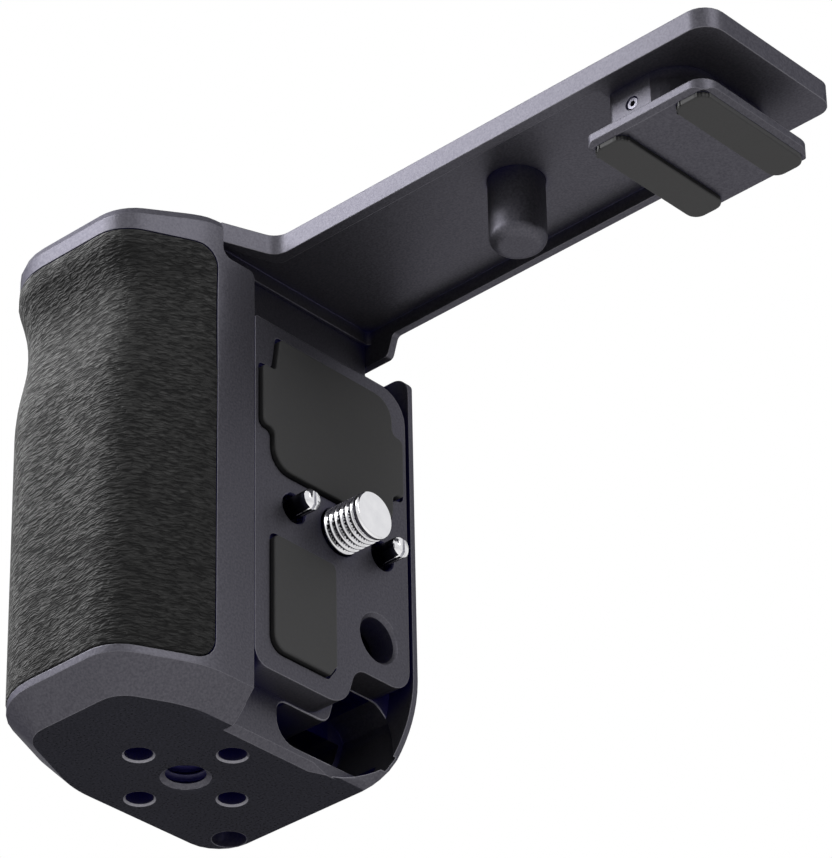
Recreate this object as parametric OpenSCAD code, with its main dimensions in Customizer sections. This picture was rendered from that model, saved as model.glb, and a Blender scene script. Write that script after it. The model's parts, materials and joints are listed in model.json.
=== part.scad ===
// Camera side grip with a top arm that ends in an accessory shoe foot.
// Millimetres. The origin is the mouth of the tripod thread in the foot of the grip.
// +X runs along the arm towards the camera, +Y to the rear and +Z up.

/* [Grip] */
// Height of the grip
grip_h = 68.9; // [66:0.1:76]
// Distance from the tripod thread to the palm face
palm_x = 15.5; // [15.2:0.1:20]
// Distance from the tripod thread to the camera face
face_x = 16.8; // [16:0.1:19]
// Distance from the tripod thread to the front face
front_y = 24.2; // [23:0.1:30]
// Distance from the tripod thread to the rear face
rear_y = 24.1; // [23.6:0.1:27]
// Distance from the tripod thread to the sharp nose corner, to the right
nose_x = 11.4; // [10:0.1:13]
// Lean of the nose flank away from the front-to-rear direction
nose_angle = 25.5; // [20:0.5:32]
// Distance from the tripod thread to the sharp cheek corner, to the left
cheek_x = 8.9; // [7:0.1:11]
// Lean of the cheek flank away from the front-to-rear direction
cheek_angle = 22.8; // [18:0.2:30]
// Radius of the nose
nose_r = 5.4; // [4:0.1:6.5]
// Radius of the cheek
cheek_r = 10; // [6:0.1:11]
// Radius of the heel, at the rear of the palm face
heel_r = 8.5; // [6:0.1:10]
// Radius that blends a flank into a side face
blend_r = 14; // [6:0.5:16]
// Radius of the upright edge of the rear lip
rim_r = 0.4; // [0.3:0.1:1]
// Inward run of the bevel round the foot
bevel_w = 3.6; // [3:0.1:4.2]
// Height of the bevel round the foot
bevel_h = 3.8; // [2.5:0.1:4.4]
// Inward run of the curved heel under the rear face
sweep_y = 6.4; // [5:0.05:7]
// Height of the curved heel
sweep_h = 16.4; // [12:0.1:20]
// Inward run of the bevel round the top
top_edge = 0.5; // [0.3:0.05:0.8]
// Height of the bevel round the top
top_rise = 1.1; // [0.6:0.1:1.6]
// Distance ahead of the tripod thread where the top starts to slope down to the front
slope_y = 13; // [11.5:0.1:16]
// Fall of the top between there and the front face
slope_drop = 1.35; // [0.5:0.05:2]

/* [Finger groove] */
// Distance from the top down to the deepest part of the groove
groove_drop = 13.1; // [11.5:0.1:18]
// Depth of the groove in the front face
groove_d = 2; // [0.5:0.1:3]
// Rise of the groove above its deepest part
groove_up = 6.5; // [4:0.1:7]
// Fall of the groove below its deepest part
groove_down = 13; // [8:0.1:18]
// Distance ahead of the tripod thread where the groove fades out
groove_start = 5; // [2:0.1:9]

/* [Leather] */
// Thickness of the leather
leather_t = 0.9; // [0.5:0.1:1.4]
// How far the leather stands out of its recess
leather_proud = 0.1; // [0:0.05:0.3]
// Height of the lower edge of the leather
leather_low = 4.9; // [4.5:0.1:8]
// Distance from the top down to the upper edge of the leather
leather_drop = 4.6; // [3.9:0.1:8]
// Distance ahead of the tripod thread where the leather ends on the nose flank
leather_nose_y = 11.7; // [11.2:0.1:14]
// Distance ahead of the tripod thread where the leather ends on the palm face
leather_palm_y = 1; // [0.5:0.1:6]
// Radius of the corners of the leather
leather_r = 3; // [1:0.1:5]
// Gap round the edge of the leather
leather_gap = 0.1; // [0.05:0.05:0.3]

/* [Camera side] */
// Distance from the tripod thread to the floor that carries the mount plate
floor_x = 12.6; // [12:0.1:13.4]
// Bevel along the foot of that floor
floor_bevel = 0.9; // [0.4:0.1:1.2]
// Distance ahead of the tripod thread to the rear edge of the bulge
bulge_y = 5.3; // [4.8:0.1:6]
// Distance from the top down to the bulge behind its shoulder
bulge_drop = 5.25; // [4.8:0.05:6]
// Thickness of the rear lip
lip_t = 1.05; // [0.8:0.05:1.2]
// Distance from the top down to the rear lip
lip_drop = 7.3; // [6.5:0.1:9]
// Radius of the top corner of the rear lip
lip_r = 2.7; // [1:0.1:4]

/* [Mount plate] */
// Height of the lower edge of the plate
plate_low = 7.5; // [6.5:0.1:8.5]
// Distance from the top down to the upper edge of the plate
plate_drop = 11.4; // [10:0.1:12.4]
// Gap between the plate and the bulge
plate_gap = 0.12; // [0.08:0.01:0.3]
// Gap between the plate and the rear lip
plate_lip_gap = 0.7; // [0.4:0.05:1.2]
// Height of the notch in the lower rear corner
notch_h = 13.7; // [12.6:0.1:14.5]
// Distance from the tripod thread back to the notch
notch_y = 11.6; // [10.5:0.1:12.4]
// Depth of the recesses that hold the pads
pad_recess = 0.6; // [0.3:0.05:1]
// Diameter of the round window
window_d = 6.1; // [5:0.1:6.6]
// Width of the bevel round the window
window_bevel = 0.5; // [0.2:0.05:0.8]
// Distance from the tripod thread back to the window
window_y = 16.9; // [16.5:0.1:18]
// Height of the window
window_z = 19.6; // [18.5:0.1:21]

/* [Pads] */
// How far the pads stand out of the plate
pad_proud = 0.6; // [0.2:0.05:1]
// Gap round the edge of a pad
pad_gap = 0.35; // [0.05:0.01:0.5]
// Distance from the screw axis up to the upper pad
pad_above = 4.25; // [3.8:0.05:5]
// Distance from the screw axis down to the lower pad
pad_below = 5.45; // [4.5:0.05:7]
// Distance from the upper edge of the plate down to the upper pad
pad_top = 2.1; // [1.2:0.1:3]
// Distance from the lower edge of the plate up to the lower pad
pad_foot = 2.95; // [2:0.05:4]

/* [Camera screw] */
// Distance from the tripod thread back to the screw
screw_y = 9.75; // [9:0.05:10.5]
// Height of the screw and the locating pins
screw_z = 31.95; // [31:0.05:32.5]
// Outer diameter of the thread
screw_d = 6.35; // [5.9:0.05:6.5]
// Length of thread outside the plate
screw_out = 6.2; // [5:0.1:8]
// Crest spacing of the thread
screw_pitch = 0.88; // [0.7:0.01:1.3]
// Diameter of the knob in the palm face
knob_d = 16; // [13:0.1:17]
// Thickness of the knob
knob_t = 4.6; // [3.5:0.1:5]
// Number of flutes round the knob
knob_flutes = 24; // [12:1:30]

/* [Locating pins] */
// Distance between the two locating pins
pin_span = 16; // [15.6:0.1:17]
// Diameter of a pin
pin_d = 2.8; // [2.2:0.1:3]
// Length of a pin outside the plate
pin_out = 3.6; // [3.4:0.05:4]
// Travel of a pin into the plate
pin_travel = 3.2; // [1.5:0.1:3.3]

/* [Foot of the grip] */
// Outer diameter of the tripod thread
tripod_d = 6.35; // [5.9:0.05:6.5]
// Crest spacing of the tripod thread
tripod_pitch = 1.27; // [1:0.01:1.6]
// Depth of the tripod thread
tripod_depth = 9; // [6:0.5:11]
// Diameter of the circle of the anti-twist holes
twist_pcd = 16; // [14:0.1:17]
// Diameter of an anti-twist hole
twist_d = 3.5; // [2.5:0.1:3.8]
// Depth of an anti-twist hole
twist_depth = 4; // [3:0.5:6]
// Diameter of the strap hole
strap_d = 4.4; // [3.5:0.1:4.4]

/* [Arm] */
// Distance from the tripod thread to the free end of the arm
arm_end = 89.6; // [88:0.1:96]
// Height of the rim of the arm, from its lower to its upper face
arm_t = 2.85; // [2.4:0.05:4]
// Distance ahead of the tripod thread to the front edge of the arm
arm_front = 3.4; // [3:0.1:4.5]
// Distance behind the tripod thread to the rear edge of the arm
arm_rear = 20.7; // [20:0.1:21.2]
// Width of the rim round the hollow under the arm
arm_rim = 1.5; // [1.2:0.1:2.5]
// Depth of the hollow under the arm
arm_hollow = 2; // [1:0.1:2.4]
// Height of the spine on top of the arm
arm_spine = 1.5; // [1:0.1:2]
// Distance from the tripod thread to the far end of the hollow
hollow_end = 64.2; // [60:0.1:66]
// Distance ahead of the tripod thread to the front edge of the base of the arm
base_front = 10.8; // [9.5:0.1:11]
// Distance from the tripod thread to the palm end of the base of the arm
base_palm = 9; // [7:0.1:10]
// Height of the tab behind the grip
tab_h = 3.05; // [2:0.05:3.4]
// Distance from the tripod thread to the outer end of the tab
tab_x = 17; // [16:0.1:19]

/* [Shutter plunger] */
// Distance from the tripod thread to the plunger, along the arm
plunger_x = 49.7; // [45:0.1:53]
// Distance from the tripod thread back to the plunger
plunger_y = 7.6; // [7:0.1:9.5]
// Diameter of the plunger
plunger_d = 7.3; // [6:0.1:7.6]
// Length of the plunger below the hollow of the arm
plunger_out = 9.85; // [7:0.05:13]
// Rounding of the tip of the plunger
plunger_round = 1.5; // [0.5:0.1:2]
// Travel of the plunger
plunger_travel = 1.4; // [0.8:0.1:1.5]
// Diameter of the button on top of the arm
button_d = 8.8; // [8:0.1:9.2]

/* [Shoe foot] */
// Distance from the tripod thread to the middle of the shoe foot, along the arm
foot_x = 77.5; // [76:0.1:78]
// Distance from the tripod thread back to the middle of the shoe foot
foot_y = 9.05; // [8.5:0.05:9.5]
// Width of the shoe foot
foot_w = 18.8; // [18:0.05:18.8]
// Length of the shoe foot, front to rear
foot_l = 20.7; // [19.4:0.1:22]
// Thickness of the shoe foot
foot_t = 1.6; // [1.4:0.1:2]
// Height of the neck above the shoe foot
neck_h = 5.25; // [4.4:0.05:6]
// Width of the neck above the shoe foot
neck_w = 11.8; // [10:0.1:12.4]
// Length of the neck, front to rear
neck_l = 18.6; // [15:0.1:18.8]
// Width of a rubber strip under the shoe foot
strip_w = 5; // [4:0.1:6]
// Thickness of a rubber strip
strip_t = 0.7; // [0.4:0.05:1]

/* [Fasteners] */
// Shank diameter of the plate, arm and foot screws
bolt_d = 2.5; // [2:0.1:3]
// Head diameter of the plate, arm and foot screws
bolt_head = 4.6; // [4:0.1:5.2]
// Radial clearance round a screw shank and under a screw head
bolt_gap = 0.08; // [0.05:0.01:0.15]

/* [Hidden] */
$fn = 48;
// Colours of the finishes
METAL = [0.24, 0.24, 0.29];
LEATHER = [0.12, 0.12, 0.12];
RUBBER = [0.22, 0.22, 0.21];
STEEL = [0.75, 0.75, 0.77];
// Steps in one rounded corner
arc_steps = 6;
// Room that a cut takes past the face it opens
past = 2;
// Radial clearance of a shaft that turns or slides in its bore
run = 0.05;
// Clearance between faces that meet face to face but must not touch
seat = 0.05;

// Heights that hang from the top of the grip
bevel_z = grip_h - top_rise;
top_tilt = slope_drop / (front_y - slope_y);
groove_z = grip_h - groove_drop;
leather_high = grip_h - leather_drop;
bulge_h = grip_h - bulge_drop;
lip_h = grip_h - lip_drop;
plate_high = grip_h - plate_drop;
arm_top = grip_h;
arm_low = arm_top - arm_t;
hollow_z = arm_low + arm_hollow;
spine_top = arm_top + arm_spine;
tab_z = arm_low - tab_h;
plunger_tip = hollow_z - plunger_out;
foot_z = arm_low - neck_h;

// The outline of the grip follows its six sides, counted from the camera face
function unit(v) = v / norm(v);
function left(v) = [-v[1], v[0]];
function turned(v, a) = [v[0] * cos(a) - v[1] * sin(a), v[0] * sin(a) + v[1] * cos(a)];
function smooth(t) = let (u = max(0, min(1, t))) u * u * (3 - 2 * u);
function corner(c, a, b, r) =
    let (bend = atan2(a[0] * b[1] - a[1] * b[0], a * b))
    let (start = c - a * r * tan(abs(bend) / 2))
    let (centre = start + left(a) * sign(bend) * r)
    r == 0 ? [c] : [for (k = [0 : arc_steps]) centre + turned(start - centre, bend * k / arc_steps)];
// A closed outline of [x, y, radius] corners, with each corner rounded
function rounded(p) =
    let (n = len(p))
    let (q = [for (c = p) [c[0], c[1]]])
    [for (i = [0 : n - 1])
        let (before = q[(i + n - 1) % n], after = q[(i + 1) % n])
        each corner(q[i], unit(q[i] - before), unit(after - q[i]), p[i][2])];
function box_outline(x0, x1, y0, y1, r) = rounded([[x0, y0, r], [x1, y0, r], [x1, y1, r], [x0, y1, r]]);
// Inward run of the grip's sides at height z: round the foot, under the rear face and at the top
function bevel_in(z) = z < bevel_h ? bevel_w * (1 - z / bevel_h) : 0;
function sweep_in(z) = z < sweep_h ? sweep_y * pow(1 - z / sweep_h, 1.75) : 0;
function fillet(z, h) = z < h ? 1 - sqrt(1 - pow(1 - z / h, 2)) : 0;
function top_in(z) = max(0, z - bevel_z) * top_edge / top_rise;
// Fall of the top, and of the bevel round it, towards the front
function top_fall(y, z) = z < bevel_z ? 0 : min(0, y + slope_y) * top_tilt;
function groove_in(z) =
    let (t = (z - groove_z) / (z > groove_z ? groove_up : groove_down))
    abs(t) >= 1 ? 0 : groove_d * (t > 0 ? 1 - t * t : pow(cos(90 * t), 2));
// Where a flank that leans by a meets the front face and a side face, after both move in by d
function flank_x(x, a, d) = x - d * (1 - sin(a)) / cos(a);
function flank_y(x, wide, a, d) = d * sin(a) - front_y + (wide - x - d * (1 - cos(a))) / tan(a);
function between(p, q, t) = [p[0] + (q[0] - p[0]) * t, p[1] + (q[1] - p[1]) * t, 0];
// Corners of the grip at height z, with the whole outline moved in by inset
function grip_corners(z, inset) =
    let (b = bevel_in(z) + top_in(z), d = inset + b)
    let (back = rear_y - inset - sweep_in(z) - top_in(z))
    let (nose = [flank_x(nose_x, nose_angle, d), d - front_y, max(nose_r - inset - 0.4 * b, 1)])
    let (nose_end = [face_x - d, flank_y(nose_x, face_x, nose_angle, d), blend_r])
    let (cheek = [-flank_x(cheek_x, cheek_angle, d), d - front_y, max(cheek_r - inset - 1.5 * b, 1)])
    let (cheek_end = [d - palm_x, flank_y(cheek_x, palm_x, cheek_angle, d), blend_r])
    let (lip = [face_x - inset - bevel_w * fillet(z, bevel_h) - top_in(z), back, rim_r])
    concat([lip, [d - palm_x, back, max(heel_r - d, 1)], cheek_end],
        [for (t = [0.4, 0.5, 0.6]) between(cheek_end, cheek, t)], [cheek, nose],
        [for (t = [0.4, 0.5, 0.6]) between(nose, nose_end, t)], [nose_end]);
function grip_ring(z, inset) =
    [for (p = rounded(grip_corners(z, inset)))
        [p[0], p[1] + groove_in(z) * smooth((-p[1] - groove_start) / (front_y - groove_start)),
            z + top_fall(p[1], z)]];
grip_levels = concat([for (t = [0, 0.08, 0.25, 0.55, 1]) bevel_h * t],
    [for (k = [1 : 8]) bevel_h + (sweep_h - bevel_h) * k / 8],
    [for (k = [0 : 7]) groove_z - groove_down * (1 - k / 8)],
    [for (k = [0 : 5]) groove_z + groove_up * k / 5],
    [bevel_z, grip_h + past]);
module loft(inset) {
    rings = [for (z = grip_levels) grip_ring(z, inset)];
    n = len(rings[0]);
    last = len(rings) - 1;
    walls = [for (k = [0 : last - 1], j = [0 : n - 1])
        let (a = k * n + j, b = k * n + (j + 1) % n)
        each [[a, a + n, b + n], [a, b + n, b]]];
    foot = [for (j = [0 : n - 1]) j];
    top = [for (j = [n - 1 : -1 : 0]) last * n + j];
    polyhedron([for (r = rings) each r], concat([foot, top], walls));
}
// A prism of a [y, z] outline, from x0 to x1
module along_x(x0, x1, outline) {
    translate([x0, 0, 0]) rotate([90, 0, 90]) linear_extrude(x1 - x0) polygon(outline);
}
// A prism of an [x, z] outline, from y0 to y1
module along_y(y0, y1, outline) {
    translate([0, y1, 0]) rotate([90, 0, 0]) linear_extrude(y1 - y0) polygon(outline);
}
module along_z(z0, z1, outline) {
    translate([0, 0, z0]) linear_extrude(z1 - z0) polygon(outline);
}
// A round bar or bore along X, at [y, z]
module rod_x(x0, x1, at, r) {
    translate([x0, at[0], at[1]]) rotate([0, 90, 0]) cylinder(h = x1 - x0, r = r);
}
module rod_z(z0, z1, at, r) {
    translate([at[0], at[1], z0]) cylinder(h = z1 - z0, r = r);
}
// [radius, height] outline of a thread from z0 up, with narrow flat crests
function thread(root, crest, pitch, z0, turns) =
    [for (k = [0 : turns - 1], p = [[root, 0.05], [crest, 0.42], [crest, 0.58], [root, 0.95]])
        [p[0], z0 + (k + p[1]) * pitch]];
// A countersunk screw with its head face at z = 0 and its shank down to -length
head_h = (bolt_head - bolt_d) / 2;
module flat_screw(length) {
    difference() {
        union() {
            translate([0, 0, -length]) cylinder(h = length - head_h / 2, d = bolt_d);
            translate([0, 0, -head_h]) cylinder(h = head_h, d1 = bolt_d, d2 = bolt_head);
        }
        translate([0, 0, -head_h]) cylinder(h = head_h + past, d = bolt_d * 0.65, $fn = 6);
    }
}
// The hole for that screw, open above its head
module flat_screw_hole(length) {
    translate([0, 0, -length - 0.3]) cylinder(h = length + 0.3, d = bolt_d + 2 * bolt_gap);
    translate([0, 0, -head_h - bolt_gap])
        cylinder(h = head_h, d1 = bolt_d + 2 * bolt_gap, d2 = bolt_head + 2 * bolt_gap);
    translate([0, 0, -bolt_gap]) cylinder(h = past * 2, d = bolt_head + 2 * bolt_gap);
}
// A coil of wire that stands on z = 0
module coil(r, wire, turns, length) {
    steps = round(turns * 14);
    sides = 6;
    rise = length - wire;
    points = [for (k = [0 : steps], s = [0 : sides - 1])
        let (a = 360 * turns * k / steps, b = 360 * s / sides)
        [(r + wire / 2 * cos(b)) * cos(a), (r + wire / 2 * cos(b)) * sin(a),
            wire / 2 + rise * k / steps + wire / 2 * sin(b)]];
    walls = [for (k = [0 : steps - 1], s = [0 : sides - 1])
        let (a = k * sides + s, b = k * sides + (s + 1) % sides)
        each [[a, b, b + sides], [a, b + sides, a + sides]]];
    ends = [[for (s = [sides - 1 : -1 : 0]) s], [for (s = [0 : sides - 1]) steps * sides + s]];
    polyhedron(points, concat(ends, walls));
}

// Edges of the mount plate
plate_front = plate_gap - bulge_y;
plate_rear = rear_y - lip_t - plate_lip_gap;

// Grip body
screw_at = [screw_y, screw_z];
screw_r = screw_d / 2;
shank_r = screw_r - 0.5;
pins_at = [[screw_y - pin_span / 2, screw_z], [screw_y + pin_span / 2, screw_z]];
pin_r = pin_d / 2;
guide_r = pin_r + 0.5;
flange_r = guide_r + 0.5;
pin_bore_r = flange_r + 0.2;
// The flange of a pin stops behind the guide in the plate, and its spring fills the bore behind it
guide_x = face_x - 2.4;
flange_x = guide_x - seat - 1;
spring_room = 5.3;
spring_x = flange_x - pin_travel - spring_room;
well_r = shank_r + 2.1;
knob_gap = 0.4;
knob_r = knob_d / 2;
washer_t = 0.5;
knob_floor = knob_t + washer_t + 2 * seat + 0.3 - palm_x;
knob_x = knob_floor - seat - washer_t - seat;
well_in = 4;
well_x = knob_floor + well_in;
plate_head_x = face_x - pad_recess - 0.1;
plate_bolt = 8.6;
bolt_side = 6.8;
bolt_edge = 5;
bolt_below = 7.9;
bolt_up = 2.7;
bolt_front = plate_front + bolt_side;
plate_bolts = [[bolt_front, plate_low + pad_foot + bolt_up], [bolt_front, screw_z - bolt_below],
    [bolt_front, plate_high - bolt_edge], [plate_rear - bolt_side, plate_high - bolt_edge]];
arm_head_z = arm_top - 0.1;
arm_bolt = 9;
arm_in = 4.3;
arm_rows = [arm_in - base_front, arm_rear - bolt_edge];
arm_bolts = [for (x = [arm_in - base_palm, floor_x - arm_in], y = arm_rows) [x, y]];
strap_at = [-7.7, 15.3];
strap_floor = 2.7;
strap_wall = 1.3;
mouth_front = 3;
mouth_rear = rear_y - 1.2;
mouth_low = 1.75;
mouth_wall = lip_t - 0.45;
// The rim of the mouth climbs from the floor to the edge of the rear lip
mouth_rim = [12, 1.9];
mouth_run = 7.6;
mouth_x = floor_x - mouth_run;
// Hollows behind the plate, as [front, rear, low, high]. A wall stays in front of the palm face.
hollow_wall = 7.5;
hollow_x = hollow_wall - palm_x;
hollow_r = 2;
hollow_in = 3.2;
hollow_gap = 8;
hollow_floor = notch_h + 1.5;
hollow_front = plate_front + hollow_in;
hollow_rear = plate_rear - hollow_r;
hollows = [[hollow_front, hollow_rear - hollow_r, screw_z + hollow_gap, plate_high - bolt_edge - hollow_in],
    [hollow_front, hollow_rear, hollow_floor, screw_z - hollow_gap - hollow_in],
    [notch_y, hollow_rear, hollow_floor, screw_z - hollow_gap + 1.5]];
// Radii of the low top of the bulge, under its shoulder and at its rear end
fall_r = 1.4;
end_r = 0.8;
base_r = 3;
rear_rim = arm_rim - 0.4;
// The tab runs back over the floor's edge, towards the palm
tab_run = 8;
tab_start = floor_x - tab_run;
// The rounded corner between the foot and the rear lip
heel_run = 4.5;
heel_rise = 2.6;
// Inner face of the rear wall, at a given wall thickness and run of the corner at its foot
function back_curve(wall, fill) =
    [for (k = [0 : 20]) let (z = sweep_h * pow(k / 20, 1.6))
        [rear_y - wall - sweep_in(z) - fill * fillet(z, heel_rise), z]];
module leather_area(grow) {
    low = leather_low - grow;
    high = leather_high + grow;
    ahead = -front_y - 2 * leather_r;
    along_x(0, face_x + past, box_outline(ahead, grow - leather_nose_y, low, high, leather_r));
    along_x(-palm_x - past, 0, box_outline(ahead, grow - leather_palm_y, low, high, leather_r));
}
function foot_bevel(out) = [[floor_x - floor_bevel - 1 + out, -1], [face_x + out, -1],
    [face_x + out, face_x - floor_x + floor_bevel]];
module camera_side() {
    // The open bay beside the plate, between the bulge and the rear lip
    above = grip_h + past;
    heel_y = rear_y - lip_t - sweep_y - heel_run;
    along_x(floor_x, face_x + past, concat([[-bulge_y, -past], [heel_y, -past]],
        back_curve(lip_t, heel_run), [[rear_y - lip_t, lip_h], [rear_y + past, lip_h],
        [rear_y + past, above], [-bulge_y, above]]));
    // The low top of the bulge, behind its shoulder
    ahead = -base_front - seat;
    fall = [for (k = [0 : 4]) let (a = 22.5 * k)
        [ahead + fall_r * (1 - cos(a)), bulge_h + fall_r * (1 - sin(a))]];
    end = [for (k = [0 : 3]) let (a = 30 * k)
        [-bulge_y - end_r * (1 - sin(a)), bulge_h - end_r * (1 - cos(a))]];
    along_x(floor_x, face_x + past, concat(fall, end,
        [[past - bulge_y, bulge_h - end_r], [past - bulge_y, above], [ahead, above]]));
    // The rounded top corner of the lip
    translate([face_x - lip_r, rear_y - lip_t - past, lip_h - lip_r]) difference() {
        cube([lip_r + past, lip_t + 2 * past, lip_r + past]);
        rotate([-90, 0, 0]) cylinder(h = lip_t + 2 * past, r = lip_r);
    }
    // The bevel along the foot of the floor, which runs out into the heel
    fade = heel_y - 2.8;
    along_y(-bulge_y, fade, foot_bevel(0));
    hull() {
        along_y(fade - 0.01, fade, foot_bevel(0));
        along_y(fade + 8, fade + 8.01, foot_bevel(3.2));
    }
}
module strap_way() {
    // The mouth in the camera side
    intersection() {
        along_x(mouth_x, face_x + past, rounded([[mouth_front, mouth_low, 3],
            [mouth_rear, mouth_low, 0],
            [mouth_rear, notch_h - 0.1, 3.2], [notch_y + 2.2, notch_h - 0.1, 1.5],
            [notch_y + 0.4, plate_low - 0.25, 2], [mouth_front, plate_low - 0.25, 1.6]]));
        along_x(mouth_x - 1, face_x + 2 * past, concat([[0, 0]], back_curve(mouth_wall, 0), [[0, sweep_h]]));
        along_y(0, rear_y, [[mouth_x - 1, 0], [face_x + 1, 0], [face_x + 1, mouth_rim[1]],
            [floor_x + 0.1, mouth_rim[0]], [floor_x + 0.1, notch_h], [mouth_x - 1, notch_h]]);
    }
    // The way through to the hole in the foot
    intersection() {
        along_x(strap_at[0] - strap_d / 2, mouth_x + 1,
            box_outline(notch_y + 0.4, rear_y, strap_floor, notch_h - 2.7, 1));
        along_x(strap_at[0] - strap_d, mouth_x + past,
            concat([[0, 0]], back_curve(strap_wall, 0), [[0, sweep_h]]));
    }
    rod_z(-past, strap_floor + past, strap_at, strap_d / 2);
}
module tripod_socket() {
    turns = floor((tripod_depth - 1) / tripod_pitch);
    root = tripod_d / 2 - tripod_pitch * 0.49;
    rotate_extrude() polygon(concat([[0, -past], [root, -past]],
        thread(root, tripod_d / 2, tripod_pitch, 0.5, turns), [[root, tripod_depth], [0, tripod_depth]]));
    translate([0, 0, -0.01]) cylinder(h = 0.51, r1 = tripod_d / 2, r2 = root);
}
module twist_holes() {
    for (a = [0 : 90 : 270]) rotate(a) translate([twist_pcd / 2, 0, 0]) {
        translate([0, 0, -past]) cylinder(h = past + twist_depth, d = twist_d);
        translate([0, 0, -0.01]) cylinder(h = 0.25, d1 = twist_d + 0.5, d2 = twist_d);
    }
}
module grip_body() {
    color(METAL) difference() {
        union() {
            difference() {
                loft(0);
                leather_area(leather_gap);
            }
            loft(leather_t);
        }
        camera_side();
        // The level top and its slope towards the front
        along_x(-palm_x - past, face_x + past, [[rear_y + past, grip_h], [rear_y + past, grip_h + 2 * past],
            [-front_y - past, grip_h + 2 * past],
            [-front_y - past, grip_h + top_fall(-front_y - past, grip_h)],
            [-slope_y, grip_h]]);
        // The seat of the arm, and the gap behind its tab
        along_z(arm_low, grip_h + past, rounded([[-base_palm - seat, -base_front - seat, base_r],
            [face_x + past, -base_front - seat, 0], [face_x + past, arm_rear + seat, 0],
            [-base_palm - seat, arm_rear + seat, base_r]]));
        translate([tab_start - 0.3, arm_rear - rear_rim - 0.1, lip_h])
            cube([face_x, rear_y, grip_h]);
        // Hollows behind the plate
        for (h = hollows) along_x(hollow_x, floor_x + past, box_outline(h[0], h[1], h[2], h[3], hollow_r));
        // Ways of the camera screw and its knob
        rod_x(-palm_x - past, knob_floor, screw_at, knob_r + knob_gap);
        rod_x(knob_floor - past, floor_x + past, screw_at, shank_r + run);
        rod_x(well_x, floor_x + past, screw_at, well_r);
        for (p = pins_at) rod_x(spring_x, floor_x + past, p, pin_bore_r);
        for (p = plate_bolts)
            translate([plate_head_x, p[0], p[1]]) rotate([0, 90, 0]) flat_screw_hole(plate_bolt);
        for (p = arm_bolts) translate([p[0], p[1], arm_head_z]) flat_screw_hole(arm_bolt);
        strap_way();
        tripod_socket();
        twist_holes();
    }
}
module leather_wrap() {
    color(LEATHER) difference() {
        intersection() {
            loft(-leather_proud);
            leather_area(0);
        }
        loft(leather_t);
    }
}

// Mount plate and pads, with the distances of the pads and of the ears from the edges of the plate
pad_in = 3;
ear_in = 0.95;
lower_in = 2.9;
notch_in = 2.85;
function plate_outline() = rounded([[plate_front, plate_low, 2.2], [notch_y - 1, plate_low, 4],
    [notch_y + 1, notch_h, 2.5], [plate_rear, notch_h, 3.3], [plate_rear, plate_high, 4.3],
    [plate_front, plate_high, 0.5]]);
// The upper pad has an ear on each side. Both pads grow by g for the recess that holds them.
function upper_outline(g) =
    let (h = plate_high - pad_top - screw_z - pad_above)
    let (low = screw_z + pad_above - g, high = low + h + 2 * g)
    let (ear_low = low + h * 0.28, ear_high = high - h * 0.26, r = h * 0.16, ear_r = h * 0.05)
    let (front = plate_front + pad_in - g, ear_front = plate_front + ear_in - g)
    let (rear = plate_rear - pad_in + g, ear_rear = plate_rear - ear_in + g)
    rounded([[front, low, r], [rear, low, r], [rear, ear_low, ear_r], [ear_rear, ear_low, ear_r],
        [ear_rear, ear_high, ear_r], [rear, ear_high, ear_r], [rear, high, r],
        [front + ear_r, high, ear_r * 0.8], [front + ear_r / 4, ear_high, ear_r * 0.7],
        [ear_front, ear_high, ear_r * 0.7], [ear_front, ear_low, ear_r], [front, ear_low, ear_r]]);
function lower_outline(g) =
    let (low = plate_low + pad_foot - g, high = screw_z - pad_below + g)
    let (front = plate_front + lower_in - g, rear = notch_y - notch_in + g, r = (rear - front) * 0.09)
    rounded([[front, low, 2 * r], [rear - 1.2 * r - g / 2, low, r / 2], [rear, low + 1.7 * r + g / 2, r / 2],
        [rear, high, r], [front, high, r]]);
module mount_plate() {
    color(METAL) difference() {
        along_x(floor_x, face_x, plate_outline());
        along_x(face_x - pad_recess, face_x + past, upper_outline(pad_gap));
        along_x(face_x - pad_recess, face_x + past, lower_outline(pad_gap));
        rod_x(floor_x - past, face_x + past, [window_y, window_z], window_d / 2);
        translate([face_x - window_bevel, window_y, window_z]) rotate([0, 90, 0])
            cylinder(h = window_bevel + 0.01, d1 = window_d, d2 = window_d + 2 * window_bevel);
        rod_x(floor_x - past, face_x + past, screw_at, screw_r + 2 * run);
        for (p = pins_at) {
            rod_x(floor_x - past, face_x + past, p, guide_r + run);
            rod_x(floor_x - past, guide_x, p, pin_bore_r);
            translate([face_x - 0.3, p[0], p[1]]) rotate([0, 90, 0])
                cylinder(h = 0.31, r1 = guide_r + run, r2 = guide_r + run + 0.2);
        }
        for (p = plate_bolts)
            translate([plate_head_x, p[0], p[1]]) rotate([0, 90, 0]) flat_screw_hole(plate_bolt);
    }
}
module plate_screws() {
    color(STEEL) for (p = plate_bolts)
        translate([plate_head_x, p[0], p[1]]) rotate([0, 90, 0]) flat_screw(plate_bolt);
}
module upper_pad() {
    color(RUBBER) along_x(face_x - pad_recess, face_x + pad_proud, upper_outline(0));
}
module lower_pad() {
    color(RUBBER) along_x(face_x - pad_recess, face_x + pad_proud, lower_outline(0));
}

// Camera screw, its knob and what holds them
clip_x = well_x + seat;
clip_t = 0.7;
clip_groove_r = shank_r - 0.5;
spigot_r = shank_r - 0.5;
spigot_l = knob_t * 0.55;
knob_head_x = knob_x - knob_t + 0.4;
knob_bolt = knob_t - 0.4 + 3.2;
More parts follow.
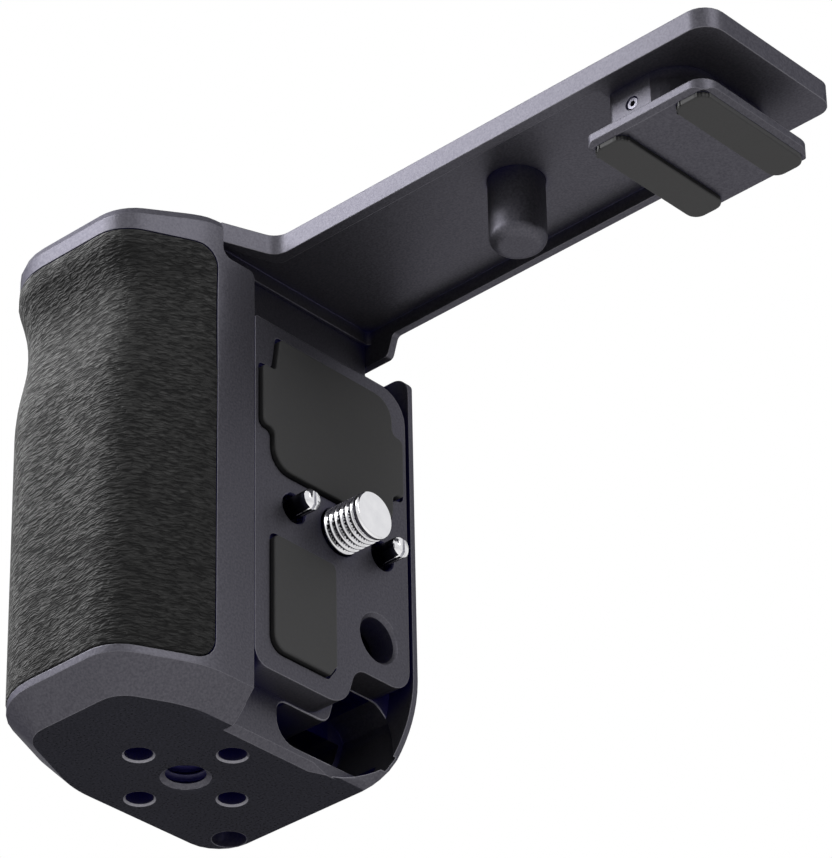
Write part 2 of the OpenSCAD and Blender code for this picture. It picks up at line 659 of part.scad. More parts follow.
// Plain band at the tip of the screw, and its rounding
tip_band = 0.9;
tip_r = 0.35;
module camera_screw() {
    tip = face_x + screw_out;
    turns = floor((screw_out - tip_band) / screw_pitch);
    start = tip - tip_band - turns * screw_pitch;
    root = screw_r - screw_pitch * 0.55;
    color(STEEL) translate([0, screw_y, screw_z]) difference() {
        rotate([0, 90, 0]) rotate_extrude() polygon(concat([[0, knob_x - spigot_l],
            [spigot_r, knob_x - spigot_l], [spigot_r, knob_x], [shank_r, knob_x],
            [shank_r, clip_x - run], [clip_groove_r, clip_x - run],
            [clip_groove_r, clip_x + clip_t + run], [shank_r, clip_x + clip_t + run], [shank_r, start - 0.3]],
            thread(root, screw_r, screw_pitch, start, turns),
            [[root, tip - tip_band], [screw_r, tip - tip_band + 0.1]],
            [for (k = [0 : 3]) [screw_r - tip_r * (1 - cos(30 * k)), tip - tip_r * (1 - sin(30 * k))]],
            [[0, tip]]));
        // The flat that turns with the knob, and the tapped hole of the knob's own screw
        translate([knob_x - spigot_l - 1, -screw_r, spigot_r - 0.6]) cube([spigot_l + 1, screw_d, 2]);
        rotate([0, 90, 0]) translate([0, 0, knob_head_x - 1])
            cylinder(h = knob_bolt + 1.3, d = bolt_d + 2 * bolt_gap);
    }
}
module screw_knob() {
    out = knob_x - knob_t;
    color(METAL) difference() {
        translate([0, screw_y, screw_z]) rotate([0, 90, 0]) rotate_extrude() polygon([[0, out],
            [knob_r - 0.6, out], [knob_r, out + 0.6], [knob_r, knob_x - 0.4], [knob_r - 0.4, knob_x],
            [0, knob_x]]);
        for (k = [0 : knob_flutes - 1])
            translate([0, screw_y, screw_z]) rotate([360 * k / knob_flutes, 0, 0])
                rod_x(out - 1, knob_x + 1, [0, knob_r + 0.25], 0.7);
        difference() {
            rod_x(knob_x - spigot_l - seat, knob_x + past, screw_at, spigot_r + seat);
            translate([knob_x - spigot_l - 1, screw_y - screw_r, screw_z + spigot_r - 0.6 + seat])
                cube([spigot_l + 2 * past, screw_d, 2]);
        }
        translate([knob_head_x, screw_y, screw_z]) rotate([0, -90, 0]) flat_screw_hole(knob_bolt);
        translate([out - 1, screw_y - 0.8, screw_z - knob_r + 1.2]) cube([2, 1.6, 2 * knob_r - 2.4]);
    }
}
module knob_screw() {
    color(STEEL) translate([knob_head_x, screw_y, screw_z]) rotate([0, -90, 0]) flat_screw(knob_bolt);
}
module knob_washer() {
    color(STEEL) difference() {
        rod_x(knob_floor - seat - washer_t, knob_floor - seat, screw_at, knob_r - 1);
        rod_x(knob_floor - past, knob_floor + past, screw_at, shank_r + 0.3);
    }
}
module screw_circlip() {
    color(STEEL) difference() {
        rod_x(clip_x, clip_x + clip_t, screw_at, well_r - 0.4);
        rod_x(clip_x - past, clip_x + past, screw_at, clip_groove_r + 0.03);
        translate([clip_x - past, screw_y - 1.3, screw_z]) cube([2 * past, 2.6, well_r]);
    }
}

// Locating pins, each with a tail inside its spring
tail_r = 0.9;
neck_r = pin_r - 0.2;
pin_sink = 1.4;
tail_l = 4;
module locating_pin(at) {
    tip = face_x + pin_out;
    color(STEEL) difference() {
        translate([0, at[0], at[1]]) rotate([0, 90, 0]) rotate_extrude() polygon([[0, flange_x - tail_l],
            [tail_r, flange_x - tail_l], [tail_r, flange_x], [flange_r, flange_x], [flange_r, flange_x + 1],
            [guide_r, flange_x + 1], [guide_r, face_x - pin_sink], [neck_r, face_x - pin_sink],
            [neck_r, face_x], [pin_r, face_x + 0.05], [pin_r, tip - 0.5], [pin_r - 0.5, tip], [0, tip]]);
        translate([tip - 0.6, at[0] - 0.2, at[1] - pin_r]) cube([past, 0.4, pin_d]);
    }
}
module pin_spring(at) {
    color(STEEL) translate([spring_x, at[0], at[1]]) rotate([0, 90, 0])
        coil(pin_r + 0.2, 0.4, 6, flange_x - spring_x);
}
module locating_pin_front() {
    locating_pin(pins_at[0]);
}
module locating_pin_rear() {
    locating_pin(pins_at[1]);
}
module pin_spring_front() {
    pin_spring(pins_at[0]);
}
module pin_spring_rear() {
    pin_spring(pins_at[1]);
}

// Arm
shoulder_x = face_x - 0.4;
base_lean = 20;
spine_in = 4;
spine_start = 2;
spine_end = 5;
spine_r = 4;
tab_land = 4;
plunger_at = [plunger_x, plunger_y];
plunger_r = plunger_d / 2;
bush_r = plunger_r + 1.55;
bush_z = hollow_z + 0.7;
neck_x0 = foot_x - 0.45 - neck_w / 2;
foot_head_z = spine_top - 0.1;
foot_bolt = 8.2;
foot_bolts = [[foot_x - 3.4, foot_y + 2.5], [foot_x + 3.4, foot_y + 2.5]];
// X on the leaning front face of the base, after it moves in by d
function lean_x(y, d) = shoulder_x + (y + base_front) * tan(base_lean) - d / cos(base_lean);
module top_arm() {
    color(METAL) difference() {
        union() {
            along_z(arm_low, arm_top, rounded([[-base_palm, -base_front, base_r],
                [shoulder_x, -base_front, 0], [lean_x(-arm_front, 0), -arm_front, 2.5],
                [arm_end, -arm_front, 3], [arm_end, arm_rear, 2.2], [-base_palm, arm_rear, base_r]]));
            along_z(arm_top - 1, spine_top,
                box_outline(face_x + spine_start, arm_end - spine_end, spine_in - arm_front,
                arm_rear - spine_in, spine_r));
            // The tab behind the grip
            along_y(arm_rear - rear_rim, arm_rear, rounded([[tab_start, tab_z, 0], [tab_x - 0.5, tab_z, 0.8],
                [tab_x + 0.5, arm_low, 0.8], [tab_x + tab_land, arm_low, 0],
                [tab_x + tab_land, arm_low + 1, 0], [tab_start, arm_low + 1, 0]]));
        }
        along_z(arm_low - past, hollow_z, rounded([[floor_x + 0.6, arm_rim - base_front, 0.6],
            [lean_x(arm_rim - base_front, arm_rim), arm_rim - base_front, 0.6],
            [lean_x(arm_rim - arm_front, arm_rim), arm_rim - arm_front, 1.5],
            [hollow_end, arm_rim - arm_front, 2], [hollow_end, arm_rear - rear_rim, 2],
            [floor_x + 0.6, arm_rear - rear_rim, 0.6]]));
        // The shallow end of the hollow, up to the neck of the shoe foot
        along_z(arm_low - past, hollow_z - 0.3,
            box_outline(hollow_end - 4, neck_x0, arm_rim - arm_front, arm_rear - rear_rim, 0.5));
        rod_z(hollow_z - past, spine_top + past, plunger_at, plunger_r + run);
        rod_z(bush_z, spine_top + past, plunger_at, bush_r + seat);
        for (p = arm_bolts) translate([p[0], p[1], arm_head_z]) flat_screw_hole(arm_bolt);
        for (p = foot_bolts) translate([p[0], p[1], foot_head_z]) flat_screw_hole(foot_bolt);
    }
}
module arm_screws() {
    color(STEEL) for (p = arm_bolts) translate([p[0], p[1], arm_head_z]) flat_screw(arm_bolt);
}

// Shutter plunger
button_r = button_d / 2;
ledge_z = hollow_z + 1.5;
ledge_t = 0.6;
stem_r = 2;
button_z = ledge_z + ledge_t + plunger_travel + 1;
button_h = 1.6;
flange_z = spine_top + button_h;
module shutter_plunger() {
    color(METAL) translate([plunger_x, plunger_y, 0]) rotate_extrude() polygon(concat([[0, plunger_tip]],
        [for (k = [0 : 8]) let (a = 11.25 * k) [plunger_r - plunger_round * (1 - sin(a)),
            plunger_tip + plunger_round * (1 - cos(a))]],
        [[plunger_r, ledge_z - seat], [stem_r, ledge_z - seat], [stem_r, button_z + 0.8],
            [0, button_z + 0.8]]));
}
module shutter_button() {
    color(METAL) translate([plunger_x, plunger_y, 0]) rotate_extrude() polygon([[0, button_z + 0.85],
        [stem_r + 0.03, button_z + 0.85], [stem_r + 0.03, button_z], [button_r, button_z],
        [button_r, button_z + button_h - 0.4], [button_r - 0.4, button_z + button_h],
        [0, button_z + button_h]]);
}
module plunger_bush() {
    color(METAL) translate([plunger_x, plunger_y, 0]) rotate_extrude() polygon([[plunger_r + run, bush_z],
        [bush_r, bush_z], [bush_r, spine_top], [bush_r + 1.2, spine_top], [bush_r + 1.2, flange_z - 0.4],
        [bush_r + 0.8, flange_z], [button_r + 0.3, flange_z], [button_r + 0.3, ledge_z + ledge_t],
        [stem_r + 0.3, ledge_z + ledge_t], [stem_r + 0.3, ledge_z], [plunger_r + run, ledge_z]]);
}
module plunger_spring() {
    spring_z = ledge_z + ledge_t;
    color(STEEL) translate([plunger_x, plunger_y, spring_z])
        coil(button_r - 0.9, 0.3, 2.5, button_z - spring_z);
}

// Shoe foot
foot_low = foot_z - foot_t;
foot_edge = foot_t * 0.35;
foot_r = 2.4;
corner_r = 1.4;
set_at = [foot_x - 2.5, foot_z + 2.3];
set_r = 0.75;
set_l = 4.5;
neck_front = foot_y - neck_l / 2;
module shoe_foot() {
    x0 = foot_x - foot_w / 2;
    x1 = foot_x + foot_w / 2;
    y0 = foot_y - foot_l / 2;
    y1 = foot_y + foot_l / 2;
    edge_z = foot_low + foot_edge;
    color(METAL) difference() {
        union() {
            intersection() {
                along_z(foot_low, foot_z, rounded([[x0, y0, corner_r], [x1, y0, foot_r], [x1, y1, foot_r],
                    [x0, y1, corner_r]]));
                along_x(x0 - 1, x1 + 1, [[y0 + foot_edge, foot_low], [y1 - foot_edge, foot_low], [y1, edge_z],
                    [y1, foot_z], [y0, foot_z], [y0, edge_z]]);
                along_y(y0 - 1, y1 + 1, [[x0 + foot_edge, foot_low], [x1 - foot_edge, foot_low], [x1, edge_z],
                    [x1, foot_z], [x0, foot_z], [x0, edge_z]]);
            }
            along_z(foot_z - 0.5, arm_low, rounded([[neck_x0, neck_front, 1],
                [neck_x0 + neck_w, neck_front, 5], [neck_x0 + neck_w, neck_front + neck_l, 5],
                [neck_x0, neck_front + neck_l, 1]]));
        }
        for (p = foot_bolts) translate([p[0], p[1], foot_head_z]) flat_screw_hole(foot_bolt);
        translate([set_at[0], neck_front - past, set_at[1]]) rotate([-90, 0, 0])
            cylinder(h = set_l + past + 0.5, r = set_r + run);
        translate([set_at[0], neck_front - past, set_at[1]]) rotate([-90, 0, 0])
            cylinder(h = past + 0.4, r = set_r + 0.2);
    }
}
module foot_screws() {
    color(STEEL) for (p = foot_bolts) translate([p[0], p[1], foot_head_z]) flat_screw(foot_bolt);
}
module foot_set_screw() {
    color(STEEL) translate([set_at[0], neck_front + 0.15, set_at[1]]) rotate([-90, 0, 0]) difference() {
        cylinder(h = set_l, r = set_r);
        translate([0, 0, -past]) cylinder(h = past + 1.2, r = set_r * 0.55, $fn = 6);
    }
}
module foot_strip(x) {
    inset = foot_edge + 0.05;
    color(RUBBER) along_z(foot_low - strip_t, foot_low, box_outline(x - strip_w / 2, x + strip_w / 2,
        foot_y - foot_l / 2 + inset, foot_y + foot_l / 2 - inset, 1.6));
}
strip_x = foot_w / 2 - foot_edge - 0.05 - strip_w / 2;
module foot_strip_near() {
    foot_strip(foot_x + strip_x);
}
module foot_strip_far() {
    foot_strip(foot_x - strip_x);
}

grip_body();
leather_wrap();
mount_plate();
plate_screws();
upper_pad();
lower_pad();
camera_screw();
screw_knob();
knob_screw();
knob_washer();
screw_circlip();
locating_pin_front();
locating_pin_rear();
pin_spring_front();
pin_spring_rear();
top_arm();
arm_screws();
shutter_plunger();
shutter_button();
plunger_bush();
plunger_spring();
shoe_foot();
foot_screws();
foot_set_screw();
foot_strip_near();
foot_strip_far();
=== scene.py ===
# %% [markdown]
# # A leather-wrapped side grip for a camera
# The object is a right-hand grip that screws to the side of a camera: a metal handle wrapped in leather, a
# plate with rubber pads, and an arm that reaches over the camera to a shoe foot. Its solids come from the
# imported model, each as a node with its own place. Metal that shows gets a smooth copy of its solid, and metal
# that stays inside keeps the solid. Leather and rubber get copies with rounded edges and textured surfaces.

# %% Loading the solids
import json
import math
import random

import bmesh
import bpy
from mathutils import Matrix, Vector
from mathutils.kdtree import KDTree

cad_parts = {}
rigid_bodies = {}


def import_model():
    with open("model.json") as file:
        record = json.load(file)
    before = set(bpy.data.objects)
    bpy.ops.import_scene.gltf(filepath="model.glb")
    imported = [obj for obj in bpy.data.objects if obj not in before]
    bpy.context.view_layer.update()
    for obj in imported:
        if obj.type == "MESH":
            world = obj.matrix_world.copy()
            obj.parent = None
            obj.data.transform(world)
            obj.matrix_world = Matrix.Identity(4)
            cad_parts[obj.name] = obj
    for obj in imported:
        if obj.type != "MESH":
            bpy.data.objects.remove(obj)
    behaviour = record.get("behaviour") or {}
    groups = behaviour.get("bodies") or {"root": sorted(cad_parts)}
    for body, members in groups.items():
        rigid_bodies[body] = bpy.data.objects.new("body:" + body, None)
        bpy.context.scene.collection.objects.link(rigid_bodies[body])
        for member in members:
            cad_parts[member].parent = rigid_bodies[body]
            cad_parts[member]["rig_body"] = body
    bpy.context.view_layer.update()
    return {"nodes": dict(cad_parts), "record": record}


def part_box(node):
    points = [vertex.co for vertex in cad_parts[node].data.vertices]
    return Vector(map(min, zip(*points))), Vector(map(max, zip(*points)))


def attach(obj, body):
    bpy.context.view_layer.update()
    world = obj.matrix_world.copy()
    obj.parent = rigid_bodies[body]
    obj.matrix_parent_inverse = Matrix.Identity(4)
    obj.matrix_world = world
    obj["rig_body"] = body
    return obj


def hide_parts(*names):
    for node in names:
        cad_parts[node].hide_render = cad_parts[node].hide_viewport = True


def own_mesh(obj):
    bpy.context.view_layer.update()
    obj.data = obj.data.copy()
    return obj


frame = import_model()
nodes = frame["nodes"]
scene = bpy.context.scene
MM = 0.001

# %% [markdown]
# ## The camera
# The picture is taken with a long lens from in front of the grip, to its left and below its foot. A camera
# can be turned with Euler angles, but three axes are clearer here: right, up and back are where the picture's
# own directions point in the object's frame, and together they are the columns of the camera's matrix.

# %% Camera
long_side_px = 858
focal_px = 4654
right = Vector((0.73483, 0.67802, -0.01754))
up = Vector((0.37400, -0.38349, 0.84443))
back = Vector((0.56581, -0.62707, -0.53538))
lens = bpy.data.cameras.new("camera")
lens.sensor_width = 36
lens.lens = focal_px * lens.sensor_width / long_side_px
lens.clip_start = 0.01
camera = bpy.data.objects.new("camera", lens)
camera.matrix_world = Matrix((right, up, back)).transposed().to_4x4()
camera.location = (0.356685, -0.352192, -0.267720)
scene.collection.objects.link(camera)
scene.camera = camera
print("lens in mm:", round(lens.lens, 1), "distance in m:", round(camera.location.length, 3))

# %% [markdown]
# ## Nodes and colours
# Every finish below is a small tree of shader nodes. One function adds a node, sets its fields and links its
# sockets, so that a tree reads from top to bottom. Colours are written as the hex values a painter picks on
# screen. Shaders count in linear light, so one function turns a hex value to linear numbers.

# %% Node and colour helpers
def linear(hex_colour):
    """The linear RGBA of an sRGB hex colour."""
    parts = [int(hex_colour[i:i + 2], 16) / 255 for i in (1, 3, 5)]
    return (*[c / 12.92 if c <= 0.04045 else ((c + 0.055) / 1.055) ** 2.4 for c in parts], 1)


def put(tree, kind, sockets=None, **fields):
    """Adds one node. Sockets take a value, or another node's output to link."""
    node = tree.nodes.new("ShaderNode" + kind)
    for name, value in fields.items():
        setattr(node, name, value)
    for name, value in (sockets or {}).items():
        if isinstance(value, bpy.types.NodeSocket):
            tree.links.new(value, node.inputs[name])
        else:
            node.inputs[name].default_value = value
    return node


def blank_material(name):
    """A material with an empty node tree."""
    material = bpy.data.materials.new(name)
    material.use_nodes = True
    material.node_tree.nodes.clear()
    return material, material.node_tree


print("linear value of mid grey:", round(linear("#808080")[0], 3))

# %% [markdown]
# ## Studio light
# The grip hangs in a white studio. The world is white where the lens or a bright metal looks at it, and dimmer
# as a light, so that the undersides stay dark. A soft box high on the left lights the leather and draws out its
# grain, one on the right lights the nose, and one above draws the line round the top. A small one hangs near the
# arm, just where the arm's front edge mirrors it towards the lens.

# %% World and soft boxes
world = bpy.data.worlds.new("white studio")
world.use_nodes = True
world.node_tree.nodes.clear()
scene.world = world
sky = world.node_tree
path = put(sky, "LightPath")
seen = put(sky, "Math", {0: path.outputs["Is Camera Ray"], 1: path.outputs["Is Glossy Ray"]},
    operation="MAXIMUM")
seen = put(sky, "Math", {0: seen.outputs[0], 1: path.outputs["Is Transmission Ray"]}, operation="MAXIMUM")
level = put(sky, "MapRange", {"Value": seen.outputs[0], "To Min": 0.35, "To Max": 1.0})
air = put(sky, "Background", {"Color": linear("#ffffff"), "Strength": level.outputs[0]})
put(sky, "OutputWorld", {"Surface": air.outputs[0]})


def soft_box(name, direction, distance, size, power, target=(0.03, 0, 0.04)):
    """A rectangular area lamp that faces a target from a direction. Its long side follows the arm."""
    lamp = bpy.data.lights.new(name, "AREA")
    lamp.shape = "RECTANGLE"
    lamp.size, lamp.size_y = size
    lamp.energy = power
    holder = bpy.data.objects.new(name, lamp)
    aim = Vector(direction).normalized()
    along = (Vector((1, 0, 0)) - aim * aim.x).normalized()
    holder.matrix_world = Matrix((along, aim.cross(along), aim)).transposed().to_4x4()
    holder.location = Vector(target) + aim * distance
    holder.visible_camera = False
    scene.collection.objects.link(holder)


soft_box("left soft box", (-0.85, -0.38, 0.42), 0.6, (0.36, 0.36), 1.9)
soft_box("right soft box", (0.82, -0.08, 0.54), 0.5, (0.25, 0.25), 0.8)
soft_box("top soft box", (-0.57, -0.01, 0.82), 0.5, (0.3, 0.3), 0.7)
soft_box("arm soft box", (-0.566, -0.627, 0.535), 0.2, (0.13, 0.09), 0.42, (0.062, -0.0034, 0.0675))
scene.view_settings.view_transform = "Standard"

# %% [markdown]
# ## The floor
# A pale floor lies under the lens, because the picture looks up at the foot of the grip. It is a grid with a
# diffuse finish that takes the object's shadow. To the lens and to the metal it also glows a little, as white
# paper under studio lamps does. Its back is clear, so that a view from under the floor shows the object.

# %% Floor
floor_drop = 0.30
floor_mesh = bmesh.new()
bmesh.ops.create_grid(floor_mesh, x_segments=4, y_segments=4, size=3)
bmesh.ops.translate(floor_mesh, verts=floor_mesh.verts, vec=(0, 0, -floor_drop))
floor_data = bpy.data.meshes.new("floor")
floor_mesh.to_mesh(floor_data)
floor_mesh.free()
floor = bpy.data.objects.new("floor", floor_data)
scene.collection.objects.link(floor)
floor_paper, tree = blank_material("pale matt paper")
side = put(tree, "NewGeometry")
ray = put(tree, "LightPath")
looked_at = put(tree, "Math", {0: ray.outputs["Is Camera Ray"], 1: ray.outputs["Is Glossy Ray"]},
    operation="MAXIMUM")
lift = put(tree, "MapRange", {"Value": looked_at.outputs[0], "To Max": 0.55})
paper = put(tree, "BsdfDiffuse", {"Color": linear("#e9e8e6"), "Roughness": 0.6})
glow = put(tree, "Emission", {"Color": linear("#ffffff"), "Strength": lift.outputs[0]})
lit = put(tree, "AddShader", {0: paper.outputs[0], 1: glow.outputs[0]})
clear = put(tree, "BsdfTransparent")
sheet = put(tree, "MixShader", {0: side.outputs["Backfacing"], 1: lit.outputs[0], 2: clear.outputs[0]})
put(tree, "OutputMaterial", {"Surface": sheet.outputs[0]})
floor_data.materials.append(floor_paper)
print("floor lies", floor_drop, "m below the foot")

# %% [markdown]
# ## Blasted and anodised aluminium
# The handle, plate, arm and foot are machined aluminium, blasted with fine beads and anodised a dark blue
# grey. The flat foot of the handle is painted darker, a painted shade for a face that looks down, and the rims
# of the holes are painted paler, a painted highlight. Blasting leaves tiny pits, which give a soft sheen and a
# fine sparkle. The pits are really under 0.1 mm, and are drawn at 0.3 mm so that they show in the picture. A
# Bevel node rounds the normals at the edges. Where that normal leaves the flat one, and an Ambient Occlusion
# node says that the place is open, the colour is painted a little paler: partly worn dye, partly a painted edge
# highlight. A second, wider one finds the hollows, which are painted deep navy and less metallic as painted shade.
# The oxide dulls the metal's mirror at a shallow angle, which the Specular Tint does here.

# %% Aluminium finish
def anodised_aluminium(name, dark, light, edge, hollow_size=7 * MM):
    """Bead-blasted, anodised aluminium: grey metal with fine pits, open edges painted paler as wear and painted
    highlight, hollows painted navy as painted shade.
    """
    material, tree = blank_material(name)
    place = put(tree, "TexCoord")
    pit_size = 0.3 * MM
    cloud_size = 14 * MM
    edge_width = 0.2 * MM
    pits = put(tree, "TexNoise", {"Vector": place.outputs["Object"], "Scale": 1 / pit_size, "Detail": 2})
    clouds = put(tree, "TexNoise", {"Vector": place.outputs["Object"], "Scale": 1 / cloud_size, "Detail": 3})
    speck = put(tree, "MapRange", {"Value": pits.outputs["Fac"], "From Min": 0.3, "From Max": 0.7})
    mottle = put(tree, "Mix", {0: 0.25, 2: speck.outputs[0], 3: clouds.outputs["Fac"]})
    dye = put(tree, "Mix", {0: mottle.outputs[0], 6: linear(dark), 7: linear(light)}, data_type="RGBA")
    # Open edges are painted paler: partly worn dye, partly a painted edge highlight.
    rounded = put(tree, "Bevel", {"Radius": edge_width}, samples=6)
    flat = put(tree, "NewGeometry")
    match = put(tree, "VectorMath", {0: rounded.outputs[0], 1: flat.outputs["Normal"]}, operation="DOT_PRODUCT")
    turn = put(tree, "MapRange", {"Value": match.outputs["Value"], "From Min": 0.995, "From Max": 0.85})
    around = put(tree, "AmbientOcclusion", {"Distance": 4 * MM}, samples=6)
    open_air = put(tree, "MapRange", {"Value": around.outputs["AO"], "From Min": 0.7, "From Max": 1.0})
    wear_and_edge_highlight = put(tree, "Math", {0: turn.outputs[0], 1: open_air.outputs[0]}, operation="MULTIPLY")
    coat = put(tree, "Mix", {0: wear_and_edge_highlight.outputs[0], 6: dye.outputs[2], 7: linear(edge)}, data_type="RGBA")
    # Painted shade: hollows found by a wider Ambient Occlusion are painted deep navy and made less metallic.
    hollow = put(tree, "AmbientOcclusion", {"Distance": hollow_size}, samples=8)
    painted_navy_shade = put(tree, "MapRange", {"Value": hollow.outputs["AO"], "From Min": 0.66, "From Max": 0.3})
    coat = put(tree, "Mix", {0: painted_navy_shade.outputs[0], 6: coat.outputs[2], 7: linear("#120d4c")}, data_type="RGBA")
    grey = put(tree, "MapRange", {"Value": painted_navy_shade.outputs[0], "To Min": 0.85, "To Max": 0.3})
    sheen = put(tree, "MapRange", {"Value": pits.outputs["Fac"], "To Min": 0.4, "To Max": 0.54})
    relief = put(tree, "Bump", {"Height": pits.outputs["Fac"], "Strength": 0.25, "Distance": 0.05 * MM,
        "Normal": rounded.outputs[0]})
    metal = put(tree, "BsdfPrincipled", {"Base Color": coat.outputs[2], "Metallic": grey.outputs[0],
        "Roughness": sheen.outputs[0], "Specular Tint": linear("#8c8c90"), "Normal": relief.outputs[0]})
    put(tree, "OutputMaterial", {"Surface": metal.outputs[0]})
    return material


blasted = ("#44434a", "#5a5960", "#7b7a81")
small_hollow = 2.5 * MM
pale_anodised = anodised_aluminium("anodised aluminium, bead blasted", *blasted)
open_anodised = anodised_aluminium("anodised aluminium, bead blasted, open", *blasted, small_hollow)
# Painted shade: a darker copy of the finish for the flat foot, which looks down.
underside_shade_anodised = anodised_aluminium("anodised aluminium, painted underside shade", "#1c1c21", "#37373e", "#706f76")
# Painted highlight: a paler copy of the finish for chamfers and rims.
highlight_anodised = anodised_aluminium("anodised aluminium, painted chamfer highlight", "#6e6d74", "#8a8990", "#a3a2a8")
# Painted shade: a navy copy of the finish for the way behind the strap mouth.
navy_shade_anodised = anodised_aluminium("anodised aluminium, painted navy shade", "#07033e", "#0d075c", "#1a1468")
print("finishes:", pale_anodised.name, "/", underside_shade_anodised.name, "/", highlight_anodised.name)

# %% [markdown]
# ## Steel
# The camera screw and the locating pins are polished, nickel-plated steel: almost a mirror, with faint turning
# lines. The small screws, springs and washers are plain steel, duller and slightly darker, and the set screw is
# phosphated to a dull grey. The roots of the thread and the shanks of the pins are painted near black, a painted
# shade. Turning lines run round X, so each lies at one X, and a wave texture draws them as bands along X.

# %% Steel finishes
def turned_steel(name, colour, shade, roughness, line_spacing):
    """Turned steel: a pale metal with fine lines round the axis."""
    material, tree = blank_material(name)
    place = put(tree, "TexCoord")
    # A wave's bands repeat every pi / 10 over the scale
    lines = put(tree, "TexWave", {"Vector": place.outputs["Object"], "Scale": math.pi / 10 / line_spacing,
        "Distortion": 1.5, "Detail": 2}, bands_direction="X")
    stains = put(tree, "TexNoise", {"Vector": place.outputs["Object"], "Scale": 1 / (1.5 * MM), "Detail": 3})
    tone = put(tree, "Mix", {0: stains.outputs["Fac"], 6: linear(shade), 7: linear(colour)}, data_type="RGBA")
    gloss = put(tree, "MapRange", {"Value": lines.outputs["Fac"], "To Min": roughness, "To Max": roughness + 0.08})
    relief = put(tree, "Bump", {"Height": lines.outputs["Fac"], "Strength": 0.06, "Distance": 0.02 * MM})
    metal = put(tree, "BsdfPrincipled", {"Base Color": tone.outputs[2], "Metallic": 1,
        "Roughness": gloss.outputs[0], "Normal": relief.outputs[0]})
    put(tree, "OutputMaterial", {"Surface": metal.outputs[0]})
    return material


bright_steel = turned_steel("nickel-plated steel, polished", "#e6e6e8", "#d2d2d6", 0.1, 0.25 * MM)
plain_steel = turned_steel("plain steel, turned", "#b0b0b4", "#8e8e94", 0.28, 0.3 * MM)
grey_steel = turned_steel("phosphated steel, turned", "#7d7c86", "#66656f", 0.4, 0.3 * MM)
# Painted shade: a near-black steel for the thread's roots and the pins' shanks.
shade_steel = turned_steel("steel, painted shade", "#1c1c24", "#0e0e16", 0.34, 0.3 * MM)
print("finishes:", bright_steel.name, "/", plain_steel.name, "/", shade_steel.name)

# %% [markdown]
# ## Dressing the metal nodes
# The metal nodes already have the right shape. Those that stay inside, such as the washer and the plate's screws,
# keep their solid and only get a finish. It is put in the mesh's material slots, which changes no vertex.

# %% Metal nodes
finish_of = {"anodised_metal": pale_anodised, "steel": plain_steel, "bright_steel": bright_steel}
slot_of = {part["node"]: part["material_slot"] for part in frame["record"]["subparts"]}
for node, slot in slot_of.items():
    if slot in finish_of:
        nodes[node].data.materials.clear()
        nodes[node].data.materials.append(finish_of[slot])
print("dressed:", sum(slot in finish_of for slot in slot_of.values()), "metal nodes")

# %% [markdown]
# ## Copies of solids
# A node's mesh is loose triangles, as its file stores them. A piece that starts from one is a copy with its
# double points merged, so that edges know their two faces. The copy sits at the origin as the node does, and
# rides on the node's own body.

# %% Copy helpers
def merged_copy(node):
    """A bmesh of a node's solid with its double points merged."""
    mesh = bmesh.new()
    mesh.from_mesh(nodes[node].data)
    bmesh.ops.remove_doubles(mesh, verts=mesh.verts, dist=0.002 * MM)
    return mesh


def piece_from(mesh, name, node, material):
    """Turns a bmesh into a piece that stands for a node."""
    data = bpy.data.meshes.new(name)
    mesh.to_mesh(data)
    mesh.free()
    data.materials.clear()
    data.materials.append(material)
    piece = bpy.data.objects.new(name, data)
    scene.collection.objects.link(piece)
    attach(piece, nodes[node]["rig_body"])
    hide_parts(node)
    return piece


print("merged points of the grip body:", len(merged_copy("grip_body").verts))

# %% [markdown]
# ## Smooth metal
# Turned and milled curves are smooth, but a solid's curves are narrow flat strips, which would show as stripes
# of light. Each visible metal node gets a copy that is shaded smooth across its shallow edges and sharp at the
# machined ones. Flat triangles are joined first. On most pieces a Weighted Normal modifier then keeps the large
# faces flat.

# %% Smooth copies
def join_flat(mesh):
    """Joins neighbouring faces that lie in one plane."""
    bmesh.ops.dissolve_limit(mesh, angle_limit=math.radians(0.05), verts=mesh.verts, edges=mesh.edges)


def smooth_metal(node, material, sharp_angle, cut=None):
    """A copy of a metal node, smooth across edges below an angle in degrees, after an optional cut."""
    mesh = merged_copy(node)
    join_flat(mesh)
    if cut:
        cut(mesh)
    piece = piece_from(mesh, node + "_smooth", node, material)
    piece.data.shade_smooth()
    piece.data.set_sharp_from_angle(angle=math.radians(sharp_angle))
    return piece


def keep_flat(piece):
    """Keeps the large faces of a smooth piece flat."""
    flatten = piece.modifiers.new("flat faces stay flat", "WEIGHTED_NORMAL")
    flatten.keep_sharp = True
    flatten.weight = 50


def repaint(piece, material, chosen):
    """Gives another material to the faces that a test chooses by centre, in mm, and normal."""
    piece.data.materials.append(material)
    index = len(piece.data.materials) - 1
    for face in piece.data.polygons:
        if chosen(face.center / MM, face.normal):
            face.material_index = index


print("helpers:", smooth_metal.__name__, keep_flat.__name__, repaint.__name__)

# %% [markdown]
# ## Even normals
# The handle is lofted, and the leather's recess cuts its strips to thin triangles of every shape. Normals that
# come from such triangles crumple the light beside the recess. So the copy is first cut to small faces. Then each
# normal is set to the mean of the surface around it, weighed by area. Spots spread over the triangles stand for
# the surface, and a k-d tree finds those within reach. Spots that face too far away, past a machined edge, don't
# count, so that those edges stay sharp.

